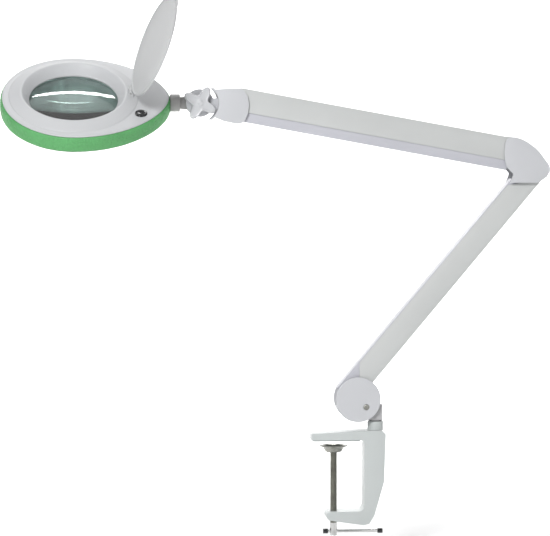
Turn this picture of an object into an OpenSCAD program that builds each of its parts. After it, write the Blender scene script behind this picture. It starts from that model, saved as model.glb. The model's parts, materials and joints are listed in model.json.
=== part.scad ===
// Desk-clamp magnifying lamp: two spring-balanced parallelogram arms and an egg-shaped lens head.
// Origin: on the clamp screw's axis, in the plane of the table top. +Z is up, the arms lie in the XZ plane
// and the pieces are drawn in the pose in which the lamp stands when it is stored.

/* [Clamp] */
// Opening between the two jaws
jaw_opening = 97; // [70:1:120]
// Depth of the casting, front to back
clamp_depth = 38; // [30:1:48]
// Distance from the clamp screw to the inside of the spine
throat = 41.5; // [36:0.5:50]
// Diameter of the clamp screw
screw_d = 10; // [8:1:12]
// Diameter of the dished pressure pad
pad_d = 39; // [30:1:44]
// Length of the tommy bar with its caps
tommy_l = 83; // [60:1:86]
// Diameter of the tommy bar
tommy_d = 4.4; // [3:0.1:5]

/* [Swivel base] */
// Distance from the clamp screw to the lamp's vertical swivel
swivel_x = 58; // [56:0.5:62]
// Diameter of the swivel pin
swivel_pin_d = 12; // [10:0.5:13]
// Outside diameter of the socket collar on the clamp
collar_d = 22; // [20:0.5:24]
// Radius of the round base covers
base_cover_r = 31; // [30:0.5:34]

/* [Arms] */
// Length of each arm from pivot to pivot
arm_l = 400; // [300:5:450]
// Angle of the lower arm above the horizontal
lower_angle = 50; // [45:1:60]
// Angle by which the upper arm rises from the elbow to the head
upper_angle = 10.4; // [5:0.1:20]
// Outside width of the lower arm
lower_w = 31; // [28:0.5:31]
// Outside width of the upper arm
upper_w = 39; // [39:0.5:42]
// Wall of the arm channels
wall = 1.5; // [1:0.1:1.8]
// Depth of the outer channels
outer_h = 32; // [28:0.5:33]
// Depth of the inner channels
inner_h = 24; // [20:0.5:26]
// Spacing of the lower arm's two pivots
lower_pitch = 15; // [14:0.5:16]
// Spacing of the upper arm's two pivots
upper_pitch = 28; // [26:0.5:30]
// Diameter of the pivot pins
pin_d = 6; // [5:0.5:6]

/* [Head] */
// Diameter of the magnifying lens
lens_d = 127; // [110:1:130]
// Radius of the lens faces
lens_r = 348; // [300:1:400]
// Radius of the head's round part
head_r = 97; // [94:1:105]
// Reach of the head from the lens centre toward the neck
head_nose = 130; // [126:1:140]
// Angle by which the lens cover stands open
lid_open = 113; // [90:1:120]
// Roll of the head about its neck
head_roll = 33; // [0:1:40]
// Distance from the tilt bolt to the lens centre
head_reach = 173; // [170:1:185]
// Outside radius of the star knob
knob_r = 24.4; // [20:0.2:27]

/* [Fits] */
// Radial clearance of a pin that turns in a hole
run = 0.05; // [0.02:0.01:0.1]
// Gap between pieces that pass each other
gap = 0.5; // [0.3:0.05:0.5]

/* [Hidden] */
$fn = 64;

casting = "#cbd2cf";
enamel = "#cfd0d4";
plastic = "#dedfdf";
steel = "#8d8f88";
dark = "#1b1b1d";

// Clamp
jaw_z = -jaw_opening - 0.6;
jaw_tip_x = -32;
jaw_tip_h = 10.8;
jaw_root_h = 14.6;
low_tip_x = -11;
low_h = 12;
spine_x = 71;
clamp_low_x = 40;
clamp_low_z = jaw_z - 18.9;
collar_h = 12;
collar_top = jaw_root_h + collar_h;
liner_t = 1.5;
pad_top = -6.4;
pad_dish = 6;
pad_cup = 4.3;
swage_r = 3.2;
swage_head_r = 5;
dish_z = pad_top - pad_dish;
cup_z = dish_z - pad_cup;
screw_low = clamp_low_z - 15.8;
tommy_z = clamp_low_z - 9.8;
tommy_mid = 26.8;
cap_d = 7;
cap_l = 7;

// Arm geometry
outer_back = 8;
inner_back = 10;
outer_end_r = 6.5;
inner_end_r = 6;
lug_r = 6;
pin_r = pin_d / 2;
bush_wall = 2;
base_outer_pivot = [27, 62.6];
function along(p, d, a) = p + d * [cos(a), sin(a)];
base_inner_pivot = along(base_outer_pivot, lower_pitch, lower_angle + 90);
elbow_low_outer = along(base_outer_pivot, arm_l, lower_angle);
elbow_low_inner = along(base_inner_pivot, arm_l, lower_angle);
elbow_up_outer = elbow_low_outer + [-24.7, 39.3];
elbow_up_inner = elbow_up_outer - [0, upper_pitch];
up_dir = 180 - upper_angle;
head_outer = along(elbow_up_outer, arm_l, up_dir);
head_inner = along(elbow_up_inner, arm_l, up_dir);
lower_outer_y = lower_w / 2;
lower_inner_y = lower_outer_y - wall - gap;
upper_outer_y = upper_w / 2;
upper_inner_y = upper_outer_y - wall - gap;
plate_t = 3;
low_plate_y = lower_inner_y - wall - gap;
head_plate_y = upper_inner_y - wall - gap;
cover_t = 2.6;
skirt_step = 0.3;
low_cover_y = lower_outer_y + 1.1;
up_cover_y = upper_outer_y + 1.1;

// Base
bush_flange = 1;
neck_low = collar_top + bush_flange + 0.2;
swivel_r = swivel_pin_d / 2;
socket_r = swivel_r + 2;
socket_l = 22;
pin_grip = 16;
swivel_l = pin_grip + 20;
screw_hole_r = 1.8;
cover_head_r = 4;
base_centre = [32.7, 57.8];
base_screw = [43.8, 47.2];
neck_r = 9.8;
neck_top = 50;

// Head joint
fork_root_x = head_outer.x - 6;
tilt_x = head_outer.x - 51.5;
tilt_z = head_outer.y - 13.5;
cheek_r = 19;
cheek_t = 5;
tongue_t = 9;
washer_t = 1.2;
washer_r = 9;
bolt_r = 4;
cheek_in = tongue_t / 2 + washer_t;
cheek_out = cheek_in + cheek_t;
knob_y = -cheek_out - 2;
knob_t = 13;

elbow_screw = elbow_up_outer + [13.5, -17.5];
head_screw = head_outer + [-18, -19];
scoop_r = knob_r + 1.2;
knob_waist = 11.7;
knob_turn = 61;
collar_far = 40.6;
collar_r = 12.2;
shaft_far = 66;

// Head, drawn lying flat with the lens centre at its origin and the neck on +X
head_low = -22.5;
band_low = -19.5;
band_high = 3.5;
band_out = 3.5;
deck_z = 5.7;
rim_r = 72;
rim_z = 14;
crease_r = 88;
crease_z = 7;
shell_t = 2.2;
lens_edge = 2.5;
lens_drop = 3.5;
lens_seat_r = lens_d / 2 + 0.3;
tube_r = lens_seat_r + 2.2;
view_r = lens_d / 2 - 2.7;
neck_z = -5.3;
shaft_r = 6;
switch_at = [91, -43];
switch_r = 8.5;
hinge_x = 78;
hinge_z = 15.7;
lid_r = 72;
lid_t = 2;
knuckle_r = 2.4;
hinge_pin_r = 1.2;
led_z = -6;
led_count = 30;
screw_angles = [60, 120, 180, 240, 300];
shell_screw_r = 1.5;

// Places a shape that is drawn in the XZ plane between two Y values
module across(y0, y1) {
    translate([0, y1, 0]) rotate([90, 0, 0]) linear_extrude(y1 - y0) children();
}

module rod_y(p, r, y0, y1) {
    translate([p.x, y0, p.y]) rotate([-90, 0, 0]) cylinder(r = r, h = y1 - y0);
}

module both_sides() {
    children();
    mirror([0, 1, 0]) children();
}

module at_arm(p, a) {
    translate([p.x, 0, p.y]) rotate([0, -a, 0]) children();
}

module clamp_outline() {
    difference() {
        polygon([[jaw_tip_x, liner_t], [jaw_tip_x, jaw_tip_h - 2], [jaw_tip_x + 2, jaw_tip_h],
            [spine_x - 22, jaw_root_h], [spine_x - 5, jaw_root_h], [spine_x, jaw_root_h - 5],
            [spine_x - 2.5, clamp_low_z + 60], [spine_x - 16, clamp_low_z + 13],
            [spine_x - 23, clamp_low_z + 2], [clamp_low_x, clamp_low_z],
            [low_tip_x + 3, jaw_z - low_h], [low_tip_x, jaw_z - low_h + 4],
            [low_tip_x, jaw_z - 3], [low_tip_x + 3, jaw_z], [throat - 10, jaw_z],
            [throat - 10, jaw_z + 10], [throat, jaw_z + 10], [throat, -2],
            [throat - 3.5, liner_t]]);
        translate([throat - 10, jaw_z + 10]) circle(r = 10);
    }
}

module clamp_body() {
    color(casting) difference() {
        union() {
            across(-clamp_depth / 2, clamp_depth / 2) clamp_outline();
            translate([swivel_x, 0, jaw_root_h - 1]) cylinder(d = collar_d, h = collar_h + 1);
        }
        translate([swivel_x, 0, collar_top - socket_l]) cylinder(r = socket_r, h = socket_l + 1);
        translate([0, 0, clamp_low_z]) cylinder(d = screw_d + 2 * run, h = 30);
    }
}

module jaw_liner() {
    color("#b9bfbd") translate([jaw_tip_x + 2, -clamp_depth / 2 + 2, 0])
        cube([throat - jaw_tip_x - 8, clamp_depth - 4, liner_t]);
}

module swivel_bush() {
    color(dark) difference() {
        union() {
            translate([swivel_x, 0, collar_top - socket_l]) cylinder(r = socket_r, h = socket_l);
            translate([swivel_x, 0, collar_top]) cylinder(r = neck_r - 0.6, h = bush_flange);
        }
        translate([swivel_x, 0, collar_top - socket_l - 1])
            cylinder(r = swivel_r + run, h = socket_l + 4);
    }
}

module pressure_pad() {
    color(steel) difference() {
        rotate_extrude() polygon([[0, cup_z], [9, cup_z], [12.5, cup_z + 2.6],
            [15, pad_top - 3.2], [pad_d / 2, pad_top - 1.6], [pad_d / 2, pad_top],
            [16, pad_top - 1], [11, dish_z], [0, dish_z]]);
        translate([0, 0, cup_z - 1]) cylinder(r = swage_r + run, h = 20);
    }
}

module clamp_screw() {
    color("#77786f") difference() {
        union() {
            translate([0, 0, screw_low]) cylinder(d = screw_d, h = cup_z - 0.1 - screw_low);
            translate([0, 0, cup_z - 1]) cylinder(r = swage_r, h = pad_cup + 1.5);
            translate([0, 0, dish_z + 0.1]) cylinder(r = swage_head_r, h = 1.6);
        }
        translate([-screw_d, 0, tommy_z]) rotate([0, 90, 0])
            cylinder(d = tommy_d + 2 * run, h = 2 * screw_d);
    }
}

module tommy_bar() {
    color("#9fa19c") translate([tommy_mid - tommy_l / 2 + 1, 0, tommy_z]) rotate([0, 90, 0])
        cylinder(d = tommy_d, h = tommy_l - 2);
}

module tommy_bar_caps() {
    color(dark) for (side = [0, 1])
        translate([tommy_mid + (side - 0.5) * (tommy_l - cap_l) - cap_l / 2, 0, tommy_z])
            rotate([0, 90, 0]) difference() {
                cylinder(d = cap_d, h = cap_l);
                translate([0, 0, side == 0 ? 1 : -1]) cylinder(d = tommy_d, h = cap_l);
            }
}

// Base joint
module base_bracket() {
    color(enamel) difference() {
        union() {
            both_sides() across(low_plate_y - plate_t, low_plate_y) {
                translate(base_outer_pivot) circle(r = lug_r);
                translate(base_inner_pivot) circle(r = lug_r);
                polygon([base_inner_pivot + [-5.9, -1], base_inner_pivot + [3, 5],
                    base_outer_pivot + [3, 5], base_outer_pivot + [5, -4], [38, neck_top],
                    [swivel_x + neck_r - 2, neck_top], [swivel_x + neck_r - 2, neck_low + 1],
                    [30, neck_low + 6], [14, 44]]);
            }
            translate([swivel_x, 0, neck_low]) cylinder(r = neck_r, h = neck_top - neck_low);
            across(-low_plate_y, low_plate_y)
                polygon([[32, neck_low + 6], [swivel_x, neck_low + 1], [swivel_x, neck_top],
                    [38, neck_top]]);
        }
        translate([swivel_x, 0, neck_low - 1]) cylinder(r = swivel_r, h = pin_grip + 1);
        rod_y(base_outer_pivot, pin_r, -30, 30);
        rod_y(base_inner_pivot, pin_r, -30, 30);
        rod_y(base_screw, screw_hole_r, -30, 30);
    }
}

module swivel_pin() {
    color(steel) translate([swivel_x, 0, neck_low + pin_grip - swivel_l])
        cylinder(r = swivel_r, h = swivel_l);
}

// One plate of a cover, drawn for the rear; y0 is its inner face and plate the bracket's outer face.
// seat is true on a plate that holds the screw's head and false on one that only takes its thread.
module cover(y0, screw, plate, seat) {
    difference() {
        union() {
            across(y0, y0 + cover_t) children(0);
            across(0.2, y0 + 0.5) children(1);
            rod_y(screw, 4.5, plate, y0 + 0.5);
        }
        rod_y(screw, screw_hole_r, -1, seat ? 40 : y0 + 0.4);
        if (seat) rod_y(screw, cover_head_r + 0.1, y0 + cover_t - 1.4, 40);
    }
}

module arc_band(r, t, a0, a1) {
    steps = 16;
    polygon(concat([for (i = [0:steps]) along([0, 0], r, a0 + (a1 - a0) * i / steps)],
        [for (i = [steps:-1:0]) along([0, 0], r - t, a0 + (a1 - a0) * i / steps)]));
}

module base_cover() {
    cover(low_cover_y, base_screw, low_plate_y, true) {
        translate(base_centre) circle(r = base_cover_r);
        translate(base_centre) arc_band(base_cover_r - skirt_step, 2, 200, 282);
    }
}

module base_cover_front() {
    color(plastic) mirror([0, 1, 0]) base_cover();
}

module base_cover_rear() {
    color(plastic) base_cover();
}

module cover_screw(p, face, shank) {
    difference() {
        union() {
            rod_y(p, screw_hole_r, face - shank, face - 1.2);
            rod_y(p, cover_head_r, face - 1.4, face + 0.2);
        }
        translate([p.x - 3, face - 0.6, p.y - 0.5]) cube([6, 2, 1]);
        translate([p.x - 0.5, face - 0.6, p.y - 3]) cube([1, 2, 6]);
    }
}

module base_cover_screws() {
    color(steel) both_sides() cover_screw(base_screw, low_cover_y + cover_t, 16);
}

// A pivot pin: shaft through both plates, with a sleeve between the plate and the channel wall
module pivot(p, reach, from, to) {
    rod_y(p, pin_r, -reach, reach);
    both_sides() difference() {
        rod_y(p, pin_r + bush_wall - 0.5, from, to);
        rod_y(p, pin_r, 0, 40);
    }
}

module outer_pivot(p, plate, outside) {
    pivot(p, outside + 0.2, plate, outside - wall - 0.05);
    both_sides() rod_y(p, pin_r + 1.4, outside + 0.1, outside + 0.7);
}

module inner_pivot(p, plate, outside) {
    pivot(p, outside + 0.2, plate, outside - wall - 0.05);
}

module base_pivot_pins() {
    color(steel) {
        outer_pivot(base_outer_pivot, low_plate_y, lower_outer_y);
        inner_pivot(base_inner_pivot, low_plate_y, lower_inner_y);
    }
}

// Arm channels, drawn along +X from their first pivot with the open side of the outer one on +Z
// first and last are the places where the walls begin and end at full depth
module outer_outline(first, last) {
    slope = 8;
    full = outer_h - outer_back;
    taper = first > 30 ? 19.5 : 6;
    circle(r = outer_end_r);
    translate([arm_l, 0]) circle(r = outer_end_r);
    polygon([[0, -outer_end_r], [5, -outer_back], [arm_l - 5, -outer_back],
        [arm_l, -outer_end_r], [arm_l, outer_end_r], [arm_l - last + taper, slope],
        [arm_l - last, full], [first, full], [first - taper, slope], [0, outer_end_r]]);
}

module outer_channel(half, first, last) {
    difference() {
        across(-half, half) outer_outline(first, last);
        across(-half + wall, half - wall) polygon([[-20, -20], [5, -20], [5, -outer_back + wall],
            [arm_l - 5, -outer_back + wall], [arm_l - 5, -20], [arm_l + 20, -20],
            [arm_l + 20, 60], [-20, 60]]);
        for (x = [0, arm_l]) rod_y([x, 0], pin_r + run, -30, 30);
    }
}

module inner_outline(first, last) {
    deep = inner_back - inner_h;
    end_first = first > 0 ? first : -inner_end_r;
    end_h = last > 20 ? 3.4 : inner_end_r;
    circle(r = inner_end_r);
    translate([arm_l, 0]) circle(r = inner_end_r);
    polygon([[0, -inner_end_r], [24, -inner_end_r], [38, deep], [arm_l - 38, deep],
        [arm_l - 24, -inner_end_r], [arm_l, -inner_end_r], [arm_l - (last > 20 ? 5 : 0), end_h],
        [arm_l - last / 2, end_h], [arm_l - last + 4, inner_end_r],
        [arm_l - last, inner_back], [end_first, inner_back],
        [end_first + (first > 0 ? -4 : 0), inner_end_r - 2], [0, inner_end_r - 2]]);
}

module inner_channel(half, first, last) {
    inside = inner_back - wall;
    difference() {
        across(-half, half) inner_outline(first, last);
        across(-half + wall, half - wall) polygon([[-20, -60], [arm_l + 20, -60],
            [arm_l + 20, 60], [arm_l - last, 60], [arm_l - last, inside], [first, inside],
            [first, 60], [-20, 60]]);
        for (x = [0, arm_l]) rod_y([x, 0], pin_r + run, -30, 30);
    }
}

module lower_outer_channel() {
    color("#cfd1cf") at_arm(base_outer_pivot, lower_angle) outer_channel(lower_outer_y, 40.5, 40.5);
}

module lower_inner_channel() {
    color("#cdcdd4") at_arm(base_inner_pivot, lower_angle) inner_channel(lower_inner_y, -6, 30);
}

module upper_outer_channel() {
    color("#cfd1cf") at_arm(elbow_up_outer, up_dir) outer_channel(upper_outer_y, 20, 13);
}

module upper_inner_channel() {
    color("#cdcdd4") at_arm(elbow_up_inner, up_dir) inner_channel(upper_inner_y, 22, 8);
}

// Close-wound balance spring with a hook rod at each end
module balance_spring() {
    coil_r = 5;
    color(steel) difference() {
        union() {
            translate([70, 0, 0]) rotate([0, 90, 0]) cylinder(r = coil_r, h = 150);
            translate([8, 0, 0]) rotate([0, 90, 0]) cylinder(r = 0.8, h = 64);
            translate([218, 0, 0]) rotate([0, 90, 0]) cylinder(r = 0.8, h = 30);
            rotate([90, 0, 0]) rotate_extrude() translate([pin_r + 3.2, 0]) circle(r = 0.8);
        }
        translate([71, 0, 0]) rotate([0, 90, 0]) cylinder(r = coil_r - 1.6, h = 148);
    }
}

module lower_spring() {
    at_arm(base_outer_pivot, lower_angle) balance_spring();
}

module upper_spring() {
    at_arm(elbow_up_outer, up_dir) balance_spring();
}

module spring_post(half) {
    color(steel) rod_y([0, 0], 2, -half + wall, half - wall);
}

module lower_spring_post() {
    at_arm(base_inner_pivot, lower_angle) translate([248, 0, -8]) spring_post(lower_inner_y);
}

module upper_spring_post() {
    at_arm(elbow_up_inner, up_dir) translate([248, 0, -12]) spring_post(upper_inner_y);
}

// Elbow
module link_plate(low, high, from) {
    both_sides() across(from - plate_t, from) {
        translate(low) circle(r = lug_r);
        translate(high) circle(r = lug_r);
        children();
    }
}

module elbow_bracket() {
    o = elbow_up_outer;
    a = elbow_low_outer;
    b = elbow_low_inner;
    color(enamel) difference() {
        union() {
            link_plate(b, a, low_plate_y) polygon([o + [5, -14], o + [14, -14], a + [5.8, 1.5],
                a + [0, -6], b + [-5.5, -2.5], b + [-4, 5]]);
            difference() {
                link_plate(elbow_up_inner, o, head_plate_y) polygon([o + [-5.9, 1], o + [5.9, -1],
                    o + [14, -14], o + [19, -22], elbow_up_inner + [5.9, -1],
                    elbow_up_inner + [-5.9, 1]]);
                across(-lower_inner_y - gap, lower_inner_y + gap) polygon([o + [-20, -19.5],
                    o + [40, -19.5], o + [40, -50], o + [-20, -50]]);
            }
            across(-head_plate_y, head_plate_y) polygon([o + [6.5, -6], o + [9, -6],
                o + [20, -21], o + [17.5, -21]]);
        }
        for (p = [o, elbow_up_inner, a, b]) rod_y(p, pin_r, -30, 30);
        rod_y(elbow_screw, screw_hole_r, -30, 30);
    }
}

module wall_line(points, t) {
    for (i = [0:len(points) - 2])
        let (d = points[i + 1] - points[i], n = t * [-d.y, d.x] / norm(d))
            polygon([points[i], points[i + 1], points[i + 1] + n, points[i] + n]);
}

module elbow_outline() {
    o = elbow_up_outer;
    a = elbow_low_outer;
    polygon([o + [-22, 9], o + [-17, 11.4], o + [-9.6, 11.5], o + [0, 8.6], o + [8.5, 3.8],
        o + [18, -3.3], o + [24.3, -9.6], a + [7, 19.6], a + [12.5, 12], a + [13.6, 7.5],
        a + [13.2, 3], a + [9.2, -4], a + [3, -8.2], a + [-2, -12], a + [-42, -12],
        o + [-13.5, -43], o + [-12.8, -39], o + [-16, -35.6], o + [-22, -29.5],
        o + [-24.3, -20], o + [-25, -9], o + [-24, 2]]);
}

module elbow_cover(seat) {
    o = elbow_up_outer;
    a = elbow_low_outer;
    cover(up_cover_y, elbow_screw, head_plate_y, seat) {
        elbow_outline();
        wall_line([a + [13.2, 5], a + [13.6, 7.5], a + [12.5, 12], a + [7, 19.6],
            o + [24.3, -9.6], o + [18, -3.3]], 2);
    }
}

module elbow_cover_front() {
    color(plastic) mirror([0, 1, 0]) elbow_cover(false);
}

module elbow_cover_rear() {
    color(plastic) elbow_cover(true);
}

module elbow_cover_screws() {
    color(steel) cover_screw(elbow_screw, up_cover_y + cover_t, 42);
}

module elbow_pivot_pins() {
    color(steel) {
        outer_pivot(elbow_low_outer, low_plate_y, lower_outer_y);
        inner_pivot(elbow_low_inner, low_plate_y, lower_inner_y);
        outer_pivot(elbow_up_outer, head_plate_y, upper_outer_y);
        inner_pivot(elbow_up_inner, head_plate_y, upper_inner_y);
    }
}

// Head joint
module head_bracket() {
    a = head_outer;
    color(enamel) difference() {
        union() {
            link_plate(head_inner, a, head_plate_y) polygon([a + [5.8, -2], a + [-5, 3.5],
                a + [-30, 0], [fork_root_x - 24, head_inner.y + 1],
                head_inner + [-5, -3.5], head_inner + [5.8, 2]]);
            across(-head_plate_y, head_plate_y)
                polygon([a + [-21, -3], a + [-9, -3], a + [-9, -6], a + [-21, -6]]);
        }
        for (p = [a, head_inner]) rod_y(p, pin_r, -30, 30);
        rod_y(head_screw, screw_hole_r, -30, 30);
        rod_y([tilt_x, tilt_z], scoop_r, -30, 30);
    }
}

module tilt_fork() {
    color(enamel) difference() {
        union() {
            translate([tilt_x, 0, tilt_z]) both_sides() across(cheek_in, cheek_out)
                circle(r = cheek_r);
            across(-head_plate_y + plate_t, head_plate_y - plate_t)
                polygon([[tilt_x + 14, tilt_z + 6.5], [fork_root_x - 3, tilt_z + 6.5],
                    [fork_root_x - 3, tilt_z - 9], [tilt_x + 14, tilt_z - 9]]);
        }
        across(-cheek_in, cheek_in) translate([tilt_x, tilt_z]) circle(r = cheek_r - 3);
        rod_y([tilt_x, tilt_z], bolt_r + run, -30, 30);
        rod_y(head_screw, screw_hole_r, -30, 30);
    }
}

module head_outline() {
    a = head_outer;
    difference() {
        polygon([a + [-34, 3.8], a + [-31, 5], a + [-12, 6.2], a + [3.7, 6.5], a + [8.5, 3],
            a + [13.4, -4.4], a + [15.2, -16], a + [13.5, -28], a + [9.4, -37.5],
            a + [5, -41], a + [-1, -42.1], a + [-17, -38.8], a + [-45.5, -27.3],
            a + [-46, -24]]);
        translate([tilt_x, tilt_z]) circle(r = scoop_r);
    }
}

module head_cover(seat) {
    a = head_outer;
    cover(up_cover_y, head_screw, head_plate_y, seat) {
        head_outline();
        union() {
            wall_line([a + [-29, 5.1], a + [-12, 6.2]], -2);
            wall_line([a + [-31, -33.1], a + [-17, -38.8]], 2);
        }
    }
    across(head_plate_y + 0.3, up_cover_y + 0.5) translate([tilt_x, tilt_z])
        arc_band(scoop_r + 2 + skirt_step, 2, -58, 50);
}

module head_cover_front() {
    color(plastic) mirror([0, 1, 0]) head_cover(false);
}

module head_cover_rear() {
    color(plastic) head_cover(true);
}

module head_cover_screws() {
    color(steel) cover_screw(head_screw, up_cover_y + cover_t, 42);
}

module head_pivot_pins() {
    color(steel) {
        outer_pivot(head_outer, head_plate_y, upper_outer_y);
        inner_pivot(head_inner, head_plate_y, upper_inner_y);
    }
}

module lock_nut() {
    color(steel) difference() {
        rod_y([tilt_x, tilt_z], 7, cheek_out + 0.1, cheek_out + 6);
        rod_y([tilt_x, tilt_z], bolt_r + run, -30, 30);
    }
}

function lobe(a) = knob_waist + (knob_r - knob_waist) * pow((1 + cos(4 * (a - knob_turn))) / 2, 1.4);

module star_knob() {
    color("#e9eaea") translate([tilt_x, 0, tilt_z]) difference() {
        union() {
            across(knob_y - knob_t, knob_y) polygon([for (a = [0:4:356]) along([0, 0], lobe(a), a)]);
            rod_y([0, 0], 8, knob_y - 0.5, -cheek_out - 0.1);
            rod_y([0, 0], 3.4, knob_y - knob_t - 1, knob_y);
        }
        rod_y([0, 0], bolt_r, knob_y - knob_t + 3, 5);
    }
}

module tilt_bolt() {
    color(steel) rod_y([tilt_x, tilt_z], bolt_r, knob_y - knob_t + 3, cheek_out + 8);
}

module neck_tongue() {
    color("#c9cac9") translate([tilt_x, 0, tilt_z]) difference() {
        union() {
            across(-tongue_t / 2, tongue_t / 2) {
                circle(r = 12);
                polygon([[-27.2, -8], [-27.2, 8], [0, 11], [0, -11]]);
            }
            translate([-collar_far, 0, 0]) rotate([0, 90, 0])
                cylinder(r = 8, h = collar_far - 27.2);
            translate([-shaft_far, 0, 0]) rotate([0, 90, 0])
                cylinder(r = shaft_r, h = shaft_far - 30);
        }
        rod_y([0, 0], bolt_r + run, -30, 30);
    }
}

module friction_washers() {
    color(dark) both_sides() difference() {
        rod_y([tilt_x, tilt_z], washer_r, tongue_t / 2, cheek_in - 0.1);
        rod_y([tilt_x, tilt_z], bolt_r + run, -30, 30);
    }
}

module neck_collar() {
    color("#a9a8a6") translate([tilt_x - collar_far, 0, tilt_z]) rotate([0, 90, 0]) difference() {
        cylinder(r = collar_r, h = 13.4);
        translate([0, 0, -1]) cylinder(r = 8, h = 20);
    }
}

// Head, drawn flat and then set on the neck's axis
module on_neck() {
    translate([tilt_x - head_reach, 0, tilt_z]) rotate([head_roll, 0, 0])
        translate([0, 0, -neck_z]) children();
}

function egg_points(d) = [for (a = [0:5:355]) let (nose = cos(a) > 0)
    [cos(a) * ((nose ? head_nose : head_r) - d),
     sin(a) * pow(abs(sin(a)), nose ? 0.2 : 0) * (head_r - d)]];
function sag(r) = lens_r - sqrt(lens_r * lens_r - r * r);
lens_rise = sag(lens_d / 2) + lens_edge / 2;
lens_face = lens_rise - sag(view_r) + 0.06;
seat_z = lens_face - lens_drop;

module egg(d, z0, z1) {
    translate([0, 0, z0]) linear_extrude(z1 - z0) polygon(egg_points(d));
}

module neck_hole(r) {
    translate([80, 0, neck_z]) rotate([0, 90, 0]) cylinder(r = r, h = 70);
}

module at_screws() {
    for (a = screw_angles) translate(90.6 * [cos(a), sin(a), 0]) children();
}

module tube(r0, r1, z0, z1) {
    translate([0, 0, z0]) difference() {
        cylinder(r = r1, h = z1 - z0);
        translate([0, 0, -1]) cylinder(r = r0, h = z1 - z0 + 2);
    }
}

module top_shell() {
    inner_r = tube_r + 0.3;
    color("#dfe0df") on_neck() difference() {
        union() {
            egg(0, band_high - 20, deck_z);
            rotate_extrude() polygon([[crease_r + 3, deck_z - 1], [crease_r, crease_z],
                [rim_r + 2, rim_z - 0.6], [rim_r, rim_z], [rim_r - 2, rim_z - 0.4],
                [view_r + 0.6, seat_z + 2.9], [view_r, seat_z + 2.2], [view_r, seat_z + 1.7],
                [view_r, deck_z - 1]]);
        }
        egg(shell_t, band_low - 2, deck_z - shell_t);
        translate([0, 0, -30]) cylinder(r = view_r, h = 60);
        rotate_extrude() polygon([[0, -20], [inner_r + 3, -20], [inner_r + 3, seat_z + 1.7],
            [rim_r - 1, rim_z - 2.8], [rim_r + 1, rim_z - 2.8], [crease_r, crease_z - shell_t],
            [crease_r, -20]]);
        rotate_extrude() polygon([[0, seat_z + 1.7], [view_r + 0.6, seat_z + 2.9],
            [rim_r - 2, rim_z - 0.4], [rim_r - 2, 40], [0, 40]]);
        neck_hole(shaft_r + 2);
        translate([switch_at.x, switch_at.y, -5]) cylinder(r = switch_r - 0.6, h = 30);
    }
    color("#dfe0df") on_neck() at_screws() tube(shell_screw_r, 3, band_low + 4.2, deck_z - 1);
}

module bottom_shell() {
    color("#e6e7e6") on_neck() difference() {
        union() {
            egg(0.6, head_low, band_low - 0.1);
            egg(shell_t + 0.2, head_low, band_low + 4);
        }
        egg(shell_t + 2.2, head_low + 2.4, band_low + 20);
        translate([0, 0, head_low - 1]) cylinder(r = crease_r - 1, h = 20);
        at_screws() translate([0, 0, head_low - 1]) cylinder(r = shell_screw_r + 0.1, h = 20);
    }
}

module lens_tube() {
    color("#e0e1e0") on_neck() {
        tube(lens_seat_r, tube_r, head_low, seat_z);
        tube(view_r, lens_seat_r + 0.1, -lens_face - lens_drop - 2, -lens_face - lens_drop);
        tube(tube_r - 0.1, tube_r + 3, head_low, head_low + 2.4);
    }
}

module side_band() {
    color("#62b466") on_neck() difference() {
        union() {
            egg(-band_out + 1, band_low, band_high);
            egg(-band_out, band_low + 3, band_high - 3);
        }
        egg(-0.05, band_low - 1, band_high + 1);
        neck_hole(shaft_r + 2);
        translate([head_reach - collar_far - 0.2, 0, neck_z]) rotate([0, 90, 0])
            cylinder(r = collar_r + 0.3, h = 10);
    }
}

module lens() {
    color("#9fd8cf", 0.5) on_neck() translate([0, 0, -lens_drop]) intersection() {
        cylinder(d = lens_d, h = 40, center = true);
        translate([0, 0, lens_rise - lens_r]) sphere(r = lens_r, $fn = 200);
        translate([0, 0, lens_r - lens_rise]) sphere(r = lens_r, $fn = 200);
    }
}

module lens_ring() {
    color("#d9dad8") on_neck() tube(view_r, tube_r, seat_z + 0.05, seat_z + 1.6);
}

module led_board() {
    color("#e9eee6") on_neck() tube(tube_r + 0.5, crease_r - 2, led_z, led_z + 1.6);
}

module leds() {
    color("#f3e27a") on_neck() for (i = [0:led_count - 1])
        rotate([0, 0, i * 360 / led_count]) translate([76, -1.4, led_z - 1.2])
            cube([3.5, 2.8, 1.2]);
}

module diffuser_ring() {
    color("#f4f5f4") on_neck() tube(tube_r + 3.1, crease_r - 1.1, head_low, head_low + 1.6);
}

module driver_board() {
    color("#3f7a4a") on_neck() {
        translate([89.5, 13.5, head_low + 5]) cube([14, 27, 1.6]);
        translate([91, 16, head_low + 6.6]) cube([9, 11, 7]);
        translate([96, 34, head_low + 6.6]) cylinder(r = 4, h = 9);
        for (y = [17, 37]) translate([100.5, y, head_low + 2.4]) cylinder(r = 2, h = 2.6);
    }
}

module neck_socket() {
    color("#d4d5d4") on_neck() difference() {
        translate([101, -11, head_low + 2.4]) cube([22, 22, deck_z - 2.5 - head_low - 2.4]);
        neck_hole(shaft_r + run);
        translate([60, -12, neck_z - 8.5]) cube([45, 24, 17]);
    }
}

module shell_screws() {
    color(steel) on_neck() at_screws() translate([0, 0, head_low - 0.8]) {
        cylinder(r = 2.6, h = 0.8);
        cylinder(r = shell_screw_r, h = 15);
    }
}

module switch_bezel() {
    color(dark) on_neck() translate([switch_at.x, switch_at.y, 0]) {
        tube(switch_r - 1.2, switch_r, deck_z, deck_z + 1.2);
        tube(switch_r - 1.2, switch_r - 0.7, -4, deck_z + 0.1);
        translate([0, 0, -6]) cylinder(r = switch_r - 1, h = 2.5);
    }
}

module switch_button() {
    color("#0d0d0f") on_neck() translate([switch_at.x, switch_at.y, deck_z - 6])
        cylinder(r = switch_r - 1.25, h = 7.6);
}

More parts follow.
